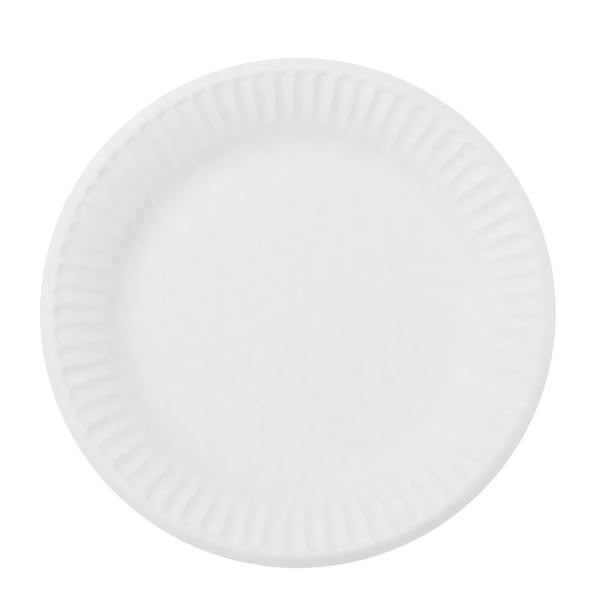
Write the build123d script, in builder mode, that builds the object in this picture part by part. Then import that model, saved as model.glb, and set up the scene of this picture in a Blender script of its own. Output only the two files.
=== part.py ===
from build123d import *
import os
from math import asin, cos, hypot, pi, radians, sin, sqrt, tan

# A round plate pressed from one disc of paperboard: flat floor, bend, smooth wall, a fluted rim and
# a lip that turns down to the cut edge. Millimetres, +Z up. The origin is the centre of the flat
# underside, on the surface that the plate stands on.
#
# The plate is built from equal sectors, one to a flute ridge. Each sector is lofted through upright
# sections that fan out from the plate's axis, and every section is cut from the same sheet.

# Driving dimensions
plate_diameter = 230.0
board_thickness = 0.5

# The slope runs outwards as a bend, a straight wall, a crown that eases off and the lip's arc. The
# radii are those of the middle of the board, and the widths are level distances.
bend_radius = 20.5  # from the floor into the wall
wall_angle = 38.0  # steepest slope, in degrees
wall_width = 2.2
crown_width = 22.6
shoulder_angle = 13.0  # slope that is left where the crown meets the lip, in degrees
lip_width = 6.9
lip_angle = 44.0  # how far the lip turns down at the cut edge, in degrees

flute_count = 70
flute_depth = 1.0
flute_run_in = 3.0  # length over which a channel opens, from the top of the straight wall
flute_growth = 18.0  # length over which it reaches its full depth
flute_run_out = 3.2  # length over which it closes at its blind outer end
flute_lap = 1.5  # how far the blind end reaches past the crown onto the lip
flute_end_rounding = 3.0  # how far the blind end draws back towards the ridges
ridge_softness = 0.3  # rounding of the ridge tops, as a share of half a pitch

floor_lap = 3.0  # flat floor that each sector carries inside the start of the bend

# Sections of a sector, as shares of half a pitch away from the ridge, and the stations along one
section_shares = [-1.0, -0.72, -0.46, -0.24, -0.1, 0.0, 0.1, 0.24, 0.46, 0.72, 1.0]
bend_stations = 6
wall_stations = 1
crown_stations = 14
lip_stations = 7
probe = 0.01  # step for measuring a slope, as a length and as a share of half a pitch

# Radii and heights where the arcs of the meridian meet, worked out from the sizes above
half_pitch = pi / flute_count
wall_slope = radians(wall_angle)
shoulder_slope = radians(shoulder_angle)
lip_slope = radians(lip_angle)
edge_radius = plate_diameter / 2 - board_thickness / 2 * sin(lip_slope)
shoulder_radius = edge_radius - lip_width
wall_top_radius = shoulder_radius - crown_width
wall_foot_radius = wall_top_radius - wall_width
floor_radius = wall_foot_radius - bend_radius * sin(wall_slope)
crown_arc = crown_width / (sin(wall_slope) - sin(shoulder_slope))
lip_arc = lip_width / (sin(shoulder_slope) + sin(lip_slope))
floor_height = board_thickness / 2
wall_foot_height = floor_height + bend_radius * (1 - cos(wall_slope))
wall_top_height = wall_foot_height + wall_width * tan(wall_slope)
shoulder_height = wall_top_height + crown_arc * (cos(shoulder_slope) - cos(wall_slope))


def smooth_step(share):
    """Ease from 0 to 1 as the share goes from 0 to 1."""
    share = min(max(share, 0.0), 1.0)
    return share * share * (3 - 2 * share)


def meridian(radius):
    """Height and slope of the middle of the board, with no flutes."""
    if radius <= floor_radius:
        return floor_height, 0.0
    if radius <= wall_foot_radius:
        slope = asin((radius - floor_radius) / bend_radius)
        return floor_height + bend_radius * (1 - cos(slope)), slope
    if radius <= wall_top_radius:
        return wall_foot_height + (radius - wall_foot_radius) * tan(wall_slope), wall_slope
    if radius <= shoulder_radius:
        slope = asin(sin(wall_slope) - (radius - wall_top_radius) / crown_arc)
        return wall_top_height + crown_arc * (cos(slope) - cos(wall_slope)), slope
    slope = asin(sin(shoulder_slope) - (radius - shoulder_radius) / lip_arc)
    return shoulder_height + lip_arc * (cos(slope) - cos(shoulder_slope)), slope


def channel_depth(radius, share):
    """Depth of the flutes below the meridian: none on a ridge, most in the middle of a channel."""
    from_ridge = hypot(share, ridge_softness) - ridge_softness
    from_ridge /= hypot(1, ridge_softness) - ridge_softness
    from_middle = 1 - from_ridge
    across = 1 - from_middle**2
    drawn_back = flute_end_rounding * (1 - sqrt(1 - min(from_middle, 1.0) ** 2))
    blind_end = shoulder_radius + flute_lap - drawn_back
    from_start = radius - wall_top_radius
    run_in = smooth_step(from_start / flute_run_in)
    growth = 1 - (1 - min(max(from_start / flute_growth, 0.0), 1.0)) ** 3
    run_out = smooth_step((blind_end - radius) / flute_run_out)
    return flute_depth * across * run_in * growth * run_out


def sheet_point(radius, share):
    """Point on the middle of the board, as radius and height in the section's plane."""
    height, slope = meridian(radius)
    depth = channel_depth(radius, share)
    return radius + depth * sin(slope), height - depth * cos(slope)


def board_faces(radius, share):
    """Points under and over the middle point, half a board thickness away from it."""
    middle = Vector(*sheet_point(radius, share))
    along = Vector(*sheet_point(radius + probe, share)) - Vector(*sheet_point(radius - probe, share))
    normal = Vector(-along.Y, along.X).normalized()
    beside = channel_depth(radius, share + probe) - channel_depth(radius, share - probe)
    side_slope = beside / (2 * probe * half_pitch * radius)
    half_cut = board_thickness / 2 * hypot(1, side_slope)
    return middle - normal * half_cut, middle + normal * half_cut


def stations(start, end, count):
    """Evenly spaced radii after the start, up to and including the end."""
    return [start + (end - start) * (step + 1) / count for step in range(count)]


def section_plane(share):
    """Upright plane through the plate's axis, with X outwards and Y up."""
    turn = share * half_pitch
    return Plane(origin=(0, 0, 0), x_dir=(cos(turn), sin(turn), 0), z_dir=(sin(turn), -cos(turn), 0))


radii = [floor_radius]
radii += stations(floor_radius, wall_foot_radius, bend_stations)
radii += stations(wall_foot_radius, wall_top_radius, wall_stations)
radii += stations(wall_top_radius, shoulder_radius, crown_stations)
radii += stations(shoulder_radius, edge_radius, lip_stations)
# Every section's splines pass their points at the same marks, so that the loft joins knot to knot
spline_marks = [(radius - floor_radius) / (edge_radius - floor_radius) for radius in radii]
lap_face = (floor_radius - floor_lap) * cos(half_pitch)  # flat inner face of a sector, from the axis

with BuildPart() as sector:
    for share in section_shares:
        inner_radius = lap_face / cos(share * half_pitch)
        under_points, over_points = zip(*[board_faces(radius, share) for radius in radii])
        with BuildSketch(section_plane(share)):
            with BuildLine():
                Line((inner_radius, 0), under_points[0])
                add(Edge.make_spline(under_points, parameters=spline_marks))
                Line(under_points[-1], over_points[-1])
                add(Edge.make_spline(over_points, parameters=spline_marks))
                Line(over_points[0], (inner_radius, board_thickness))
                Line((inner_radius, board_thickness), (inner_radius, 0))
            make_face()
    loft()

with BuildPart() as plate:
    with BuildSketch():
        RegularPolygon(lap_face, flute_count, major_radius=False, rotation=180 / flute_count)
    extrude(amount=board_thickness)
    with PolarLocations(0, flute_count):
        add(sector.part)

plate.part.label = "plate"
os.makedirs("parts", exist_ok=True)
export_step(plate.part, "parts/plate.step")
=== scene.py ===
import math

import bpy
import numpy as np
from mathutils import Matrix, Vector


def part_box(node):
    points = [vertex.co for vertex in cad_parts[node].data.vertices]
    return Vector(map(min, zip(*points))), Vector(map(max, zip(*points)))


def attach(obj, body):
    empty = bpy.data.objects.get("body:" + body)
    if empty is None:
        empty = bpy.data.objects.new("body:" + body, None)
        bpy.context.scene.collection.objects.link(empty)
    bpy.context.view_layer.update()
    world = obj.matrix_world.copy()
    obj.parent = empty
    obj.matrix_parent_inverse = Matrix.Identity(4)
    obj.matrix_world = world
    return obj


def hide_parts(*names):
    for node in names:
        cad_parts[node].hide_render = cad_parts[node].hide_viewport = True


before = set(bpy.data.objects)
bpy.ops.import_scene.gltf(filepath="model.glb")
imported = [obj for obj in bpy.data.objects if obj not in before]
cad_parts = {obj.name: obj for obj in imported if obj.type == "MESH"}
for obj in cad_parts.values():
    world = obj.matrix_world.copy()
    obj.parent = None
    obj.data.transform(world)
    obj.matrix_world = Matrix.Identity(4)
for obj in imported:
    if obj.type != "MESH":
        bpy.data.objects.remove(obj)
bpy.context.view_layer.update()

# A white plate pressed from one sheet of paperboard. Its shell is one closed mesh with the board's
# thickness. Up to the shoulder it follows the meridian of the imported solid, and its flutes lie in the
# same places but are a little deeper and crisper. The lip is tighter, and its slope and the small
# unevenness of the board are guesses at what pressing does. Lengths are in metres, Z is up, the origin
# is under the middle of the flat floor, and angles round the plate run counter-clockwise from +X.

MM = 0.001

# ---------------------------------------------------------------- sizes

plate_low, plate_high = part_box("plate")

BOARD = 0.5 * MM
BEND_RADIUS = 20.5 * MM
WALL_SLOPE = math.radians(38.0)
WALL_WIDTH = 2.2 * MM
CROWN_WIDTH = 22.6 * MM
SHOULDER_SLOPE = math.radians(13.0)
LIP_WIDTH = 6.9 * MM
CUT_TILT = math.radians(44.0)

FLUTES = 70
PITCH = 2 * math.pi / FLUTES
FLUTE_DEPTH = 1.08 * MM
FLUTE_RUN_IN = 3.0 * MM
FLUTE_GROWTH = 18.0 * MM
FLUTE_RUN_OUT = 3.2 * MM
FLUTE_LAP = 1.5 * MM
FLUTE_END_ROUNDING = 3.0 * MM
RIDGE_SOFTNESS = 0.23

RIM_RADIUS = (plate_high[0] - plate_low[0]) / 2 - BOARD / 2 * math.sin(CUT_TILT)
SHOULDER_RADIUS = RIM_RADIUS - LIP_WIDTH
WALL_TOP_RADIUS = SHOULDER_RADIUS - CROWN_WIDTH
WALL_FOOT_RADIUS = WALL_TOP_RADIUS - WALL_WIDTH
FLOOR_RADIUS = WALL_FOOT_RADIUS - BEND_RADIUS * math.sin(WALL_SLOPE)
CROWN_ARC = CROWN_WIDTH / (math.sin(WALL_SLOPE) - math.sin(SHOULDER_SLOPE))

# The lip turns over in a tight fold and runs on straight to the cut edge. It is flatter on two
# opposite sides, as if the board had sprung back across its grain, and it is turned down less on one
# side of the plate than on the other, as if the press had been out of level.
LIP_FOLD = 3.8 * MM
LIP_SLOPE = math.radians(23.0)
LIP_SPRING_BACK = math.radians(9.0)
LIP_LEAN = math.radians(15.0)
LIP_LEAN_SIDE = math.radians(52.0)
FOLD_END_RADIUS = SHOULDER_RADIUS + LIP_FOLD

# The cut edge bulges by a little past the last ring: (level, as a share of the board, and reach)
CUT_BULGE = ((0.42, 0.12 * MM), (0.2, 0.18 * MM), (-0.2, 0.18 * MM), (-0.42, 0.12 * MM))
LAST_RING_RADIUS = RIM_RADIUS - 0.08 * MM

# The flutes are this share deeper on one side of the plate, as if the press had borne harder there
DEPTH_LEAN = 0.11
DEPTH_LEAN_SIDE = math.radians(120.0)

# How far each flute strays from the pattern, as shares of its size or as lengths
DEPTH_SPREAD = 0.18
SOFTNESS_SPREAD = 0.35
PHASE_SPREAD = 0.22 * MM
WANDER = 0.55 * MM
WANDER_ORDERS = 3  # a channel's line bends as one, two and three half waves
START_SPREAD = 1.1 * MM
END_SPREAD = 0.5 * MM
STRAY_FADE = 12 * MM  # length from the flat floor over which the straying sets in
PRESS_OFFSET = (0.7 * MM, 0.6 * MM)  # as if the fluted punch sat this far off the middle of the disc

# Fine unevenness of the gathered board, as waves: how many there are, the least and most crests of
# one round the plate, the shortest crest spacing along the slope, and the length over which it sets in
RIPPLE = 0.022 * MM
RIPPLE_WAVES = 26
RIPPLE_CRESTS = (90, 330)
RIPPLE_SPACING = 7 * MM
RIPPLE_FADE = 8 * MM

# Unevenness of the cut edge, with the numbers of waves round the plate that make it up
EDGE_RAGGEDNESS = 0.05 * MM
EDGE_WAVES, EDGE_DRIFT, EDGE_PATCHES = 41, 13, 97

# Places where the board has creased: angle in degrees, start and end radius, depth and half width
CREASES = (
    (227.0, 90.5 * MM, 107.5 * MM, 0.34 * MM, 0.75 * MM),
    (19.3, 109.0 * MM, 115.0 * MM, 0.25 * MM, 0.9 * MM),
    (107.4, 92.0 * MM, 97.5 * MM, 0.20 * MM, 0.8 * MM),
    (352.6, 110.5 * MM, 115.0 * MM, 0.12 * MM, 1.3 * MM),
)
CREASE_FADE = 1.5 * MM
# Small bites out of the cut edge: angle in degrees, depth and half width
NICKS = (
    (229.1, 0.30 * MM, 1.4 * MM),
    (261.6, 0.25 * MM, 1.8 * MM),
)
NICK_REACH = 2.5 * MM

rng = np.random.default_rng(70)
channel_turns = (np.arange(FLUTES) + 0.5) * PITCH
depth_lean = DEPTH_LEAN * np.cos(channel_turns - DEPTH_LEAN_SIDE)
flutes = {
    "depth": 1 + DEPTH_SPREAD * rng.uniform(-1, 1, FLUTES) + depth_lean,
    "softness": RIDGE_SOFTNESS * (1 + SOFTNESS_SPREAD * rng.uniform(-1, 1, FLUTES)),
    "start": START_SPREAD * rng.uniform(-1, 1, FLUTES),
    "end": END_SPREAD * rng.uniform(-1, 1, FLUTES),
    "phase": PHASE_SPREAD * rng.uniform(-1, 1, FLUTES),
    "wander": WANDER * rng.uniform(-1, 1, (WANDER_ORDERS, FLUTES)),
}
steepest_rate = 2 * math.pi / RIPPLE_SPACING
ripple_waves = [
    (int(rng.integers(*RIPPLE_CRESTS)), rng.uniform(-1, 1) * steepest_rate, rng.uniform(0, 2 * math.pi))
    for wave in range(RIPPLE_WAVES)
]

# ---------------------------------------------------------------- shape of the sheet


def smooth_step(share):
    """Ease from 0 to 1 as the share goes from 0 to 1."""
    share = np.clip(share, 0.0, 1.0)
    return share * share * (3 - 2 * share)


def lip_slope(turn):
    """Downward slope of the lip's straight part, at an angle round the plate."""
    return LIP_SLOPE - LIP_SPRING_BACK * np.cos(2 * turn) - LIP_LEAN * np.cos(turn - LIP_LEAN_SIDE)


def meridian(radius, turn):
    """Height and slope of the middle of the board with no flutes, on grids of radius and turn."""
    height = np.full_like(radius, BOARD / 2)
    slope = np.zeros_like(radius)

    bend = (radius > FLOOR_RADIUS) & (radius <= WALL_FOOT_RADIUS)
    slope[bend] = np.arcsin((radius[bend] - FLOOR_RADIUS) / BEND_RADIUS)
    height[bend] += BEND_RADIUS * (1 - np.cos(slope[bend]))

    foot_height = BOARD / 2 + BEND_RADIUS * (1 - math.cos(WALL_SLOPE))
    wall = (radius > WALL_FOOT_RADIUS) & (radius <= WALL_TOP_RADIUS)
    slope[wall] = WALL_SLOPE
    height[wall] = foot_height + (radius[wall] - WALL_FOOT_RADIUS) * math.tan(WALL_SLOPE)

    top_height = foot_height + WALL_WIDTH * math.tan(WALL_SLOPE)
    crown = (radius > WALL_TOP_RADIUS) & (radius <= SHOULDER_RADIUS)
    slope[crown] = np.arcsin(math.sin(WALL_SLOPE) - (radius[crown] - WALL_TOP_RADIUS) / CROWN_ARC)
    height[crown] = top_height + CROWN_ARC * (np.cos(slope[crown]) - math.cos(WALL_SLOPE))

    shoulder_height = top_height + CROWN_ARC * (math.cos(SHOULDER_SLOPE) - math.cos(WALL_SLOPE))
    fold_arc = LIP_FOLD / (math.sin(SHOULDER_SLOPE) + np.sin(lip_slope(turn)))
    fold = (radius > SHOULDER_RADIUS) & (radius <= FOLD_END_RADIUS)
    slope[fold] = np.arcsin(math.sin(SHOULDER_SLOPE) - (radius[fold] - SHOULDER_RADIUS) / fold_arc[fold])
    height[fold] = shoulder_height + fold_arc[fold] * (np.cos(slope[fold]) - math.cos(SHOULDER_SLOPE))

    lip = radius > FOLD_END_RADIUS
    slope[lip] = -lip_slope(turn[lip])
    fold_end_height = shoulder_height + fold_arc[lip] * (np.cos(slope[lip]) - math.cos(SHOULDER_SLOPE))
    height[lip] = fold_end_height + (radius[lip] - FOLD_END_RADIUS) * np.tan(slope[lip])
    return height, slope


def channel_depth(radius, share, channel):
    """Depth of the flutes below the meridian: none on a ridge, most in the middle of a channel."""
    softness = flutes["softness"][channel]
    from_ridge = np.hypot(2 * np.minimum(share, 1 - share), softness) - softness
    from_ridge /= np.hypot(1, softness) - softness
    from_middle = np.clip(1 - from_ridge, 0.0, 1.0)
    across = 1 - from_middle**2
    drawn_back = FLUTE_END_ROUNDING * (1 - np.sqrt(1 - from_middle**2))
    blind_end = SHOULDER_RADIUS + FLUTE_LAP + flutes["end"][channel] - drawn_back
    from_start = radius - WALL_TOP_RADIUS - flutes["start"][channel]
    run_in = smooth_step(from_start / FLUTE_RUN_IN)
    growth = 1 - (1 - np.clip(from_start / FLUTE_GROWTH, 0.0, 1.0)) ** 3
    run_out = smooth_step((blind_end - radius) / FLUTE_RUN_OUT)
    return FLUTE_DEPTH * flutes["depth"][channel] * across * run_in * growth * run_out


def around(values, turn):
    """One value for each flute, read smoothly at any angle round the plate."""
    place = turn / PITCH
    before = np.floor(place).astype(int)
    share = smooth_step(place - before)
    return values[before % FLUTES] * (1 - share) + values[(before + 1) % FLUTES] * share


def sideways_stray(radius, turn):
    """How far the flutes lie to one side of their even places, as a length round the plate."""
    along = (radius - WALL_TOP_RADIUS) / (SHOULDER_RADIUS - WALL_TOP_RADIUS)
    stray = around(flutes["phase"], turn) + PRESS_OFFSET[1] * np.cos(turn) - PRESS_OFFSET[0] * np.sin(turn)
    for order, amounts in enumerate(flutes["wander"], start=1):
        stray = stray + around(amounts, turn) * np.sin(order * math.pi * along) / order
    return stray * smooth_step((radius - FLOOR_RADIUS) / STRAY_FADE)


def ripple(radius, turn):
    """Fine unevenness where the board is gathered, from the wall outwards."""
    height = np.zeros_like(radius)
    for crests, rate, start in ripple_waves:
        height += np.sin(crests * turn + rate * radius + start)
    gathered = smooth_step((radius - WALL_FOOT_RADIUS) / RIPPLE_FADE)
    return RIPPLE * height / math.sqrt(RIPPLE_WAVES / 2) * gathered


def angle_from(turn, degrees):
    """Angle past a direction given in degrees, from minus half a turn to half a turn."""
    return (turn - math.radians(degrees) + math.pi) % (2 * math.pi) - math.pi


def creased(radius, turn):
    """Depth of the creases below the rest of the sheet."""
    depth = np.zeros_like(radius)
    for degrees, start, end, deepest, half_width in CREASES:
        across = np.exp(-((angle_from(turn, degrees) * radius / half_width) ** 2))
        begun = smooth_step((radius - start) / CREASE_FADE)
        ended = smooth_step((end + CREASE_FADE - radius) / CREASE_FADE)
        depth += deepest * across * begun * ended
    return depth


def nicked(radius, turn):
    """How far the sheet falls short of its full radius near the cut edge."""
    uneven = np.sin(EDGE_WAVES * turn + 2 * np.sin(EDGE_DRIFT * turn)) * np.sin(EDGE_PATCHES * turn + 1)
    short = EDGE_RAGGEDNESS * (1 + uneven)
    for degrees, deepest, half_width in NICKS:
        short = short + deepest * np.exp(-((angle_from(turn, degrees) * RIM_RADIUS / half_width) ** 2))
    return short * smooth_step((radius - LAST_RING_RADIUS + NICK_REACH) / NICK_REACH)


# ---------------------------------------------------------------- mesh of the shell

# Columns of the mesh across a channel, as shares of the pitch, closer together at the ridges
COLUMN_SHARES = np.array([0.0, 0.06, 0.13, 0.22, 0.35, 0.5, 0.65, 0.78, 0.87, 0.94])
FLOOR_RINGS = np.array([0.2, 0.45, 0.7, 0.88, 0.97, 1.0])  # as shares of the flat floor's radius
BEND_RINGS, WALL_RINGS, CROWN_RINGS, SHOULDER_RINGS, LIP_RINGS = 7, 2, 15, 12, 4
SHOULDER_REACH = 3 * MM  # the close rings of the shoulder begin this far inside it
SLOPE_STEP = 0.02 * MM  # step for measuring the sheet's slope

FOOD_SIDE, UNDERSIDE, CUT_EDGE = 0, 1, 2  # places of the finishes on the shell


def ring_radii():
    """Radii of the rings of the mesh, closer together where the sheet turns."""
    close_from = SHOULDER_RADIUS - SHOULDER_REACH
    floor = FLOOR_RINGS * FLOOR_RADIUS
    bend = np.linspace(FLOOR_RADIUS, WALL_FOOT_RADIUS, BEND_RINGS + 1)[1:]
    wall = np.linspace(WALL_FOOT_RADIUS, WALL_TOP_RADIUS, WALL_RINGS + 1)[1:]
    crown = np.linspace(WALL_TOP_RADIUS, close_from, CROWN_RINGS + 1)[1:]
    shoulder = np.linspace(close_from, FOLD_END_RADIUS, SHOULDER_RINGS + 1)[1:]
    lip = np.linspace(FOLD_END_RADIUS, LAST_RING_RADIUS, LIP_RINGS + 1)[1:]
    return np.concatenate([floor, bend, wall, crown, shoulder, lip])


def sheet_points(radii, turns, shares, channels):
    """Points on the middle of the board, as a grid of rings by columns."""
    radius = np.repeat(radii[:, None], len(turns), axis=1)
    turn = np.repeat(turns[None, :], len(radii), axis=0)
    turn = turn + sideways_stray(radius, turn) / np.maximum(radius, FLOOR_RADIUS)
    radius = radius - nicked(radius, turn)
    height, slope = meridian(radius, turn)
    depth = channel_depth(radius, shares, channels) + creased(radius, turn) + ripple(radius, turn)
    out = radius + depth * np.sin(slope)
    up = height - depth * np.cos(slope)
    return np.stack([out * np.cos(turn), out * np.sin(turn), up], axis=-1)


def sheet_normals(middle, radii, turns, shares, channels):
    """Unit normals of the sheet at its middle points, on the food side."""
    outward = sheet_points(radii + SLOPE_STEP, turns, shares, channels)
    outward = outward - sheet_points(radii - SLOPE_STEP, turns, shares, channels)
    ahead = np.roll(middle, -1, axis=1) - middle
    behind = middle - np.roll(middle, 1, axis=1)
    ahead_length = np.linalg.norm(ahead, axis=-1, keepdims=True)
    behind_length = np.linalg.norm(behind, axis=-1, keepdims=True)
    sideways = ahead / ahead_length * behind_length + behind / behind_length * ahead_length
    normal = np.cross(outward, sideways)
    return normal / np.linalg.norm(normal, axis=-1, keepdims=True)


def shell_loops():
    """Loops of points from the middle of the food side, round the cut edge, to the underside's."""
    radii = ring_radii()
    turns = ((np.arange(FLUTES)[:, None] + COLUMN_SHARES[None, :]) * PITCH).ravel()
    shares = np.tile(COLUMN_SHARES, FLUTES)
    channels = np.repeat(np.arange(FLUTES), len(COLUMN_SHARES))
    middle = sheet_points(radii, turns, shares, channels)
    normal = sheet_normals(middle, radii, turns, shares, channels)
    over = middle + normal * BOARD / 2
    under = middle - normal * BOARD / 2
    along_edge = np.roll(middle[-1], -1, axis=0) - np.roll(middle[-1], 1, axis=0)
    outward = np.cross(along_edge, normal[-1])
    outward /= np.linalg.norm(outward, axis=-1, keepdims=True)
    cut = [middle[-1] + normal[-1] * BOARD * level + outward * reach for level, reach in CUT_BULGE]
    return list(over), cut, list(under[::-1])


def build_shell():
    """The whole plate as one closed mesh, with each face's finish."""
    over, cut, under = shell_loops()
    loops = over + cut + under
    columns = len(over[0])
    points = np.concatenate(loops + [np.array([[0, 0, BOARD], [0, 0, 0]])])
    centre_over, centre_under = len(points) - 2, len(points) - 1
    last = (len(loops) - 1) * columns
    faces, finishes = [], []
    for column in range(columns):
        following = (column + 1) % columns
        faces.append((centre_over, column, following))
        faces.append((centre_under, last + following, last + column))
        finishes += [FOOD_SIDE, UNDERSIDE]
    for loop in range(len(loops) - 1):
        if loop < len(over) - 1:
            finish = FOOD_SIDE
        elif loop < len(over) + len(cut):
            finish = CUT_EDGE
        else:
            finish = UNDERSIDE
        here, beyond = loop * columns, (loop + 1) * columns
        for column in range(columns):
            following = (column + 1) % columns
            faces.append((here + column, beyond + column, beyond + following, here + following))
            finishes.append(finish)
    mesh = bpy.data.meshes.new("plate_shell")
    mesh.from_pydata(points.tolist(), [], faces)
    mesh.polygons.foreach_set("material_index", finishes)
    mesh.polygons.foreach_set("use_smooth", [True] * len(faces))
    mesh.update()
    shell = bpy.data.objects.new("plate_shell", mesh)
    bpy.context.scene.collection.objects.link(shell)
    return shell


# ---------------------------------------------------------------- effects shared by the finishes

NOISE_LOW, NOISE_HIGH = 0.28, 0.72  # most of a noise lies between these
SPECK_RADIUS = 0.075  # as a share of a speck's cell
SPECK_RARITY = 0.93  # share of the cells that have no speck


def new_group(name, inputs, outputs):
    """Shader node group with float inputs, given as (name, default), and float outputs."""
    group = bpy.data.node_groups.new(name, "ShaderNodeTree")
    for socket_name, default in inputs:
        socket = group.interface.new_socket(name=socket_name, in_out="INPUT", socket_type="NodeSocketFloat")
        socket.default_value = default
    for socket_name in outputs:
        group.interface.new_socket(name=socket_name, in_out="OUTPUT", socket_type="NodeSocketFloat")
    return group, group.nodes.new("NodeGroupInput"), group.nodes.new("NodeGroupOutput")


def add_node(tree, kind, **settings):
    """New node in a tree, with its settings."""
    node = tree.nodes.new(kind)
    for name, value in settings.items():
        setattr(node, name, value)
    return node


def put(tree, value, socket):
    """Sets a socket to a number or a colour, or links another socket to it."""
    if isinstance(value, bpy.types.NodeSocket):
        tree.links.new(value, socket)
    else:
        socket.default_value = value


def math_node(tree, operation, first, second):
    """Result of a sum on two values."""
    node = add_node(tree, "ShaderNodeMath", operation=operation)
    put(tree, first, node.inputs[0])
    put(tree, second, node.inputs[1])
    return node.outputs[0]


def noise_at(tree, place, scale, detail, roughness, distortion):
    """Noise at a place, from 0 to 1."""
    node = add_node(tree, "ShaderNodeTexNoise")
    put(tree, place, node.inputs["Vector"])
    put(tree, scale, node.inputs["Scale"])
    put(tree, detail, node.inputs["Detail"])
    put(tree, roughness, node.inputs["Roughness"])
    put(tree, distortion, node.inputs["Distortion"])
    return node.outputs["Fac"]


def stretched(tree, noise):
    """Noise, which keeps near its middle, stretched to use most of the range from 0 to 1."""
    node = add_node(tree, "ShaderNodeMapRange")
    put(tree, noise, node.inputs["Value"])
    put(tree, NOISE_LOW, node.inputs["From Min"])
    put(tree, NOISE_HIGH, node.inputs["From Max"])
    return node.outputs["Result"]


def build_pulp():
    """Matted fibres: cloudy formation, fine curled fibres and rare darker specks, all from 0 to 1."""
    group, entry, leave = new_group(
        "pulp",
        (("Cloud Scale", 160.0), ("Fibre Scale", 1500.0), ("Speck Scale", 170.0), ("Speck Strength", 0.4)),
        ("Cloud", "Fibre", "Speck"),
    )
    given = entry.outputs
    place = add_node(group, "ShaderNodeTexCoord").outputs["Object"]
    cells = add_node(group, "ShaderNodeTexVoronoi", feature="F1")
    put(group, place, cells.inputs["Vector"])
    put(group, given["Speck Scale"], cells.inputs["Scale"])
    cell_colour = add_node(group, "ShaderNodeSeparateColor")
    put(group, cells.outputs["Color"], cell_colour.inputs["Color"])
    in_speck = math_node(group, "LESS_THAN", cells.outputs["Distance"], SPECK_RADIUS)
    rare = math_node(group, "GREATER_THAN", cell_colour.outputs["Red"], SPECK_RARITY)
    speck = math_node(group, "MULTIPLY", in_speck, rare)
    cloud = noise_at(group, place, given["Cloud Scale"], detail=3.0, roughness=0.55, distortion=0.0)
    fibre = noise_at(group, place, given["Fibre Scale"], detail=4.0, roughness=0.6, distortion=1.6)
    put(group, stretched(group, cloud), leave.inputs["Cloud"])
    put(group, stretched(group, fibre), leave.inputs["Fibre"])
    put(group, math_node(group, "MULTIPLY", speck, given["Speck Strength"]), leave.inputs["Speck"])
    return group


def build_gathers():
    """Fine radial puckers where the press has gathered the board, and none on the flat floor."""
    group, entry, leave = new_group(
        "gathers",
        (("Fineness", 70.0), ("Along Scale", 130.0), ("Inner Radius", WALL_FOOT_RADIUS), ("Fade", 12 * MM)),
        ("Pucker",),
    )
    given = entry.outputs
    place = add_node(group, "ShaderNodeTexCoord").outputs["Object"]
    level = add_node(group, "ShaderNodeVectorMath", operation="MULTIPLY")
    put(group, place, level.inputs[0])
    put(group, (1, 1, 0), level.inputs[1])
    length = add_node(group, "ShaderNodeVectorMath", operation="LENGTH")
    put(group, level.outputs["Vector"], length.inputs[0])
    radius = length.outputs["Value"]
    heading = add_node(group, "ShaderNodeVectorMath", operation="NORMALIZE")
    put(group, level.outputs["Vector"], heading.inputs[0])
    spread = add_node(group, "ShaderNodeVectorMath", operation="SCALE")
    put(group, heading.outputs["Vector"], spread.inputs[0])
    put(group, given["Fineness"], spread.inputs["Scale"])
    flat = add_node(group, "ShaderNodeSeparateXYZ")
    put(group, spread.outputs["Vector"], flat.inputs[0])
    wrapped = add_node(group, "ShaderNodeCombineXYZ")
    put(group, flat.outputs["X"], wrapped.inputs["X"])
    put(group, flat.outputs["Y"], wrapped.inputs["Y"])
    put(group, math_node(group, "MULTIPLY", radius, given["Along Scale"]), wrapped.inputs["Z"])
    noise = noise_at(group, wrapped.outputs[0], 1.0, detail=2.0, roughness=0.45, distortion=0.3)
    pucker = math_node(group, "SUBTRACT", noise, 0.5)
    from_inner = math_node(group, "SUBTRACT", radius, given["Inner Radius"])
    share = math_node(group, "DIVIDE", from_inner, given["Fade"])
    gathered = math_node(group, "MINIMUM", math_node(group, "MAXIMUM", share, 0.0), 1.0)
    put(group, math_node(group, "MULTIPLY", pucker, gathered), leave.inputs["Pucker"])
    return group


pulp_group = build_pulp()
gathers_group = build_gathers()

# ---------------------------------------------------------------- finishes of the board

SPECK_TONE = (0.42, 0.38, 0.31, 1)
CLOUD_PART = 0.6  # share of the tone that comes from the cloudiness, the rest from the fibres
GLOSS_CHANGE = 0.25  # how much the fibres change the roughness
BUMP_HEIGHT = 0.1 * MM


def place_group(tree, group, **values):
    """Outputs of a shared effect that is placed in a material with its own values."""
    node = add_node(tree, "ShaderNodeGroup", node_tree=group)
    for name, value in values.items():
        node.inputs[name.replace("_", " ")].default_value = value
    return node.outputs


def mixed_tone(tree, share, low, high):
    """Colour between two colours."""
    mix = add_node(tree, "ShaderNodeMix", data_type="RGBA")
    put(tree, share, mix.inputs["Factor"])
    put(tree, low, mix.inputs["A"])
    put(tree, high, mix.inputs["B"])
    return mix.outputs["Result"]


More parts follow.
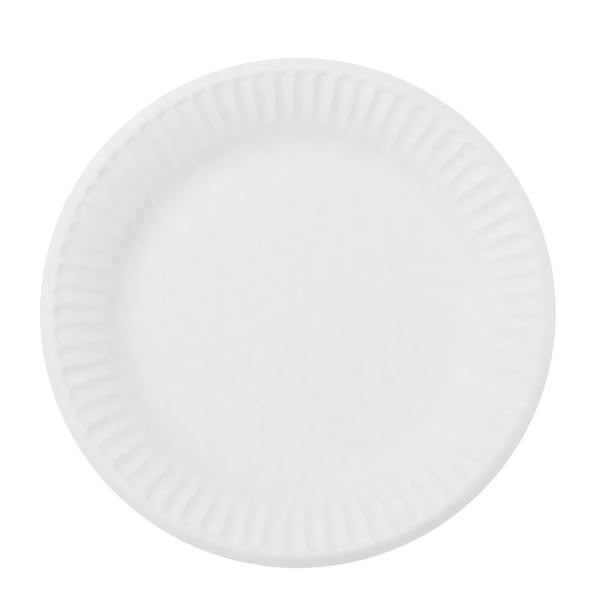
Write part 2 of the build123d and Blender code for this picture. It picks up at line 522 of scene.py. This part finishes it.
def board_finish(name, low, high, roughness, specular, grain, pucker, specks):
    """White paperboard: tone and gloss vary with its pulp, and fibres and puckers make its bump."""
    material = bpy.data.materials.new(name)
    material.use_nodes = True
    tree = material.node_tree
    principled = tree.nodes["Principled BSDF"]
    pulp = place_group(tree, pulp_group, Speck_Strength=specks)
    gathers = place_group(tree, gathers_group)

    cloud_share = math_node(tree, "MULTIPLY", pulp["Cloud"], CLOUD_PART)
    fibre_share = math_node(tree, "MULTIPLY", pulp["Fibre"], 1 - CLOUD_PART)
    tone = mixed_tone(tree, math_node(tree, "ADD", cloud_share, fibre_share), (*low, 1), (*high, 1))
    put(tree, mixed_tone(tree, pulp["Speck"], tone, SPECK_TONE), principled.inputs["Base Color"])

    fibre_swing = math_node(tree, "SUBTRACT", pulp["Fibre"], 0.5)
    gloss_swing = math_node(tree, "MULTIPLY", fibre_swing, GLOSS_CHANGE)
    put(tree, math_node(tree, "ADD", gloss_swing, roughness), principled.inputs["Roughness"])
    put(tree, specular, principled.inputs["Specular IOR Level"])

    fibre_height = math_node(tree, "MULTIPLY", pulp["Fibre"], grain)
    pucker_height = math_node(tree, "MULTIPLY", gathers["Pucker"], pucker)
    bump = add_node(tree, "ShaderNodeBump")
    put(tree, BUMP_HEIGHT, bump.inputs["Distance"])
    put(tree, math_node(tree, "ADD", fibre_height, pucker_height), bump.inputs["Height"])
    put(tree, bump.outputs["Normal"], principled.inputs["Normal"])
    return material


food_side = board_finish(
    "smooth_food_side", (0.816, 0.818, 0.800), (0.870, 0.872, 0.856),
    roughness=0.62, specular=0.3, grain=0.2, pucker=0.5, specks=0.1,
)
underside = board_finish(
    "bare_underside", (0.763, 0.758, 0.729), (0.868, 0.863, 0.841),
    roughness=0.82, specular=0.2, grain=0.45, pucker=0.7, specks=0.35,
)
cut_edge = board_finish(
    "cut_edge", (0.702, 0.691, 0.658), (0.866, 0.860, 0.840),
    roughness=0.90, specular=0.15, grain=0.6, pucker=0.0, specks=0.2,
)

shell = build_shell()
for finish in (food_side, underside, cut_edge):
    shell.data.materials.append(finish)
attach(shell, "root")
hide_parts("plate")

# ---------------------------------------------------------------- floor, light and camera

VIEW_AZIMUTH = 1.13  # in degrees
VIEW_ELEVATION = 81.4
VIEW_DISTANCE = 0.95
VIEW_WIDTH = 0.2670  # width of the view at the aim
AIM_RIGHT, AIM_AHEAD = 1.1 * MM, 3.4 * MM  # aim, off the plate's axis, as the camera sees it
SENSOR_WIDTH = 36.0  # in millimetres, as the camera counts it
CLIP_START, CLIP_END = 0.05, 20.0
WHITE = (1.0, 1.0, 1.0, 1)
FLOOR_REACH = 4.0
FLOOR_TONE = (0.9, 0.9, 0.9, 1)
FLOOR_ROUGHNESS = 0.95
FLOOR_DROP = 0.2 * MM  # keeps the floor's surface clear of the plate's underside
FLOOR_GLOW = 0.48  # whitens the floor as it is seen, and lights nothing
FLOOR_OPENING = plate_high[0] + 3 * MM  # radius within which the floor lets light up to the underside
LET_THROUGH = 0.65  # share of the light from below that comes through the opening


def direction(azimuth, elevation):
    """Unit vector towards an azimuth, counter-clockwise from +X, and an elevation, in degrees."""
    turn, rise = math.radians(azimuth), math.radians(elevation)
    return Vector((math.cos(turn) * math.cos(rise), math.sin(turn) * math.cos(rise), math.sin(rise)))


def aimed(name, data, target, away, distance):
    """Lamp or camera at a distance from its target, which it looks at."""
    thing = bpy.data.objects.new(name, data)
    thing.location = target + away * distance
    thing.rotation_mode = "QUATERNION"
    thing.rotation_quaternion = away.to_track_quat("Z", "Y")
    bpy.context.scene.collection.objects.link(thing)
    return thing


def build_floor():
    """Plain pale floor that only shows from above, and under the plate lets in some light from below."""
    sides = ((-1, -1), (1, -1), (1, 1), (-1, 1))
    corners = [(x * FLOOR_REACH, y * FLOOR_REACH, -FLOOR_DROP) for x, y in sides]
    mesh = bpy.data.meshes.new("studio_floor")
    mesh.from_pydata(corners, [], [(0, 1, 2, 3)])
    floor = bpy.data.objects.new("studio_floor", mesh)
    bpy.context.scene.collection.objects.link(floor)
    material = bpy.data.materials.new("studio_floor")
    material.use_nodes = True
    tree = material.node_tree
    principled = tree.nodes["Principled BSDF"]
    put(tree, FLOOR_TONE, principled.inputs["Base Color"])
    put(tree, FLOOR_ROUGHNESS, principled.inputs["Roughness"])
    put(tree, WHITE, principled.inputs["Emission Color"])
    seen = add_node(tree, "ShaderNodeLightPath").outputs["Is Camera Ray"]
    put(tree, math_node(tree, "MULTIPLY", seen, FLOOR_GLOW), principled.inputs["Emission Strength"])
    from_middle = add_node(tree, "ShaderNodeVectorMath", operation="LENGTH")
    put(tree, add_node(tree, "ShaderNodeTexCoord").outputs["Object"], from_middle.inputs[0])
    beneath = math_node(tree, "LESS_THAN", from_middle.outputs["Value"], FLOOR_OPENING)
    let_in = math_node(tree, "GREATER_THAN", beneath, seen)
    from_below = add_node(tree, "ShaderNodeNewGeometry").outputs["Backfacing"]
    clear = add_node(tree, "ShaderNodeBsdfTransparent")
    put(tree, math_node(tree, "MAXIMUM", seen, LET_THROUGH), clear.inputs["Color"])
    shown = add_node(tree, "ShaderNodeMixShader")
    put(tree, math_node(tree, "MAXIMUM", from_below, let_in), shown.inputs[0])
    put(tree, principled.outputs[0], shown.inputs[1])
    put(tree, clear.outputs[0], shown.inputs[2])
    put(tree, shown.outputs[0], tree.nodes["Material Output"].inputs["Surface"])
    floor.data.materials.append(material)


def soft_light(name, azimuth, elevation, distance, side, power, tint):
    """Square lamp that looks at the plate, with its azimuth as the camera sees it."""
    data = bpy.data.lights.new(name, "AREA")
    data.shape = "SQUARE"
    data.size = side
    data.energy = power
    data.color = tint
    aimed(name, data, Vector((0, 0, 0)), direction(azimuth + VIEW_AZIMUTH, elevation), distance)


def build_world(strength, tint, backdrop):
    """Even tinted light from all round, and a plain pale backdrop that only the camera sees."""
    world = bpy.data.worlds.new("studio")
    world.use_nodes = True
    tree = world.node_tree
    surroundings = tree.nodes["Background"]
    put(tree, (*tint, 1), surroundings.inputs["Color"])
    put(tree, strength, surroundings.inputs["Strength"])
    seen = add_node(tree, "ShaderNodeBackground")
    put(tree, (*backdrop, 1), seen.inputs["Color"])
    pick = add_node(tree, "ShaderNodeMixShader")
    put(tree, add_node(tree, "ShaderNodeLightPath").outputs["Is Camera Ray"], pick.inputs[0])
    put(tree, surroundings.outputs[0], pick.inputs[1])
    put(tree, seen.outputs[0], pick.inputs[2])
    put(tree, pick.outputs[0], tree.nodes["World Output"].inputs["Surface"])
    bpy.context.scene.world = world


def build_camera():
    """Camera that looks down on the plate from a little in front of it."""
    data = bpy.data.cameras.new("camera")
    data.sensor_width = SENSOR_WIDTH
    data.lens = data.sensor_width * VIEW_DISTANCE / VIEW_WIDTH
    data.clip_start = CLIP_START
    data.clip_end = CLIP_END
    target = AIM_RIGHT * direction(VIEW_AZIMUTH, 0) + AIM_AHEAD * direction(VIEW_AZIMUTH + 90, 0)
    target.z = plate_high[2]
    away = direction(VIEW_AZIMUTH - 90, VIEW_ELEVATION)
    bpy.context.scene.camera = aimed("camera", data, target, away, VIEW_DISTANCE)


build_floor()
build_world(strength=0.542, tint=(1.10, 1.0, 0.981), backdrop=(0.86, 0.86, 0.86))
soft_light("key", 115, 45, distance=1.0, side=0.8, power=2.19, tint=(0.89, 1.0, 0.99))
soft_light("side", 225, 30, distance=1.2, side=1.0, power=2.35, tint=(0.83, 1.0, 1.02))
soft_light("top", 80, 82, distance=1.2, side=1.0, power=3.76, tint=(0.91, 1.0, 1.05))
soft_light("under", 320, -48, distance=1.2, side=0.8, power=6.0, tint=(0.87, 1.0, 0.98))
build_camera()
bpy.context.scene.view_settings.view_transform = "Standard"
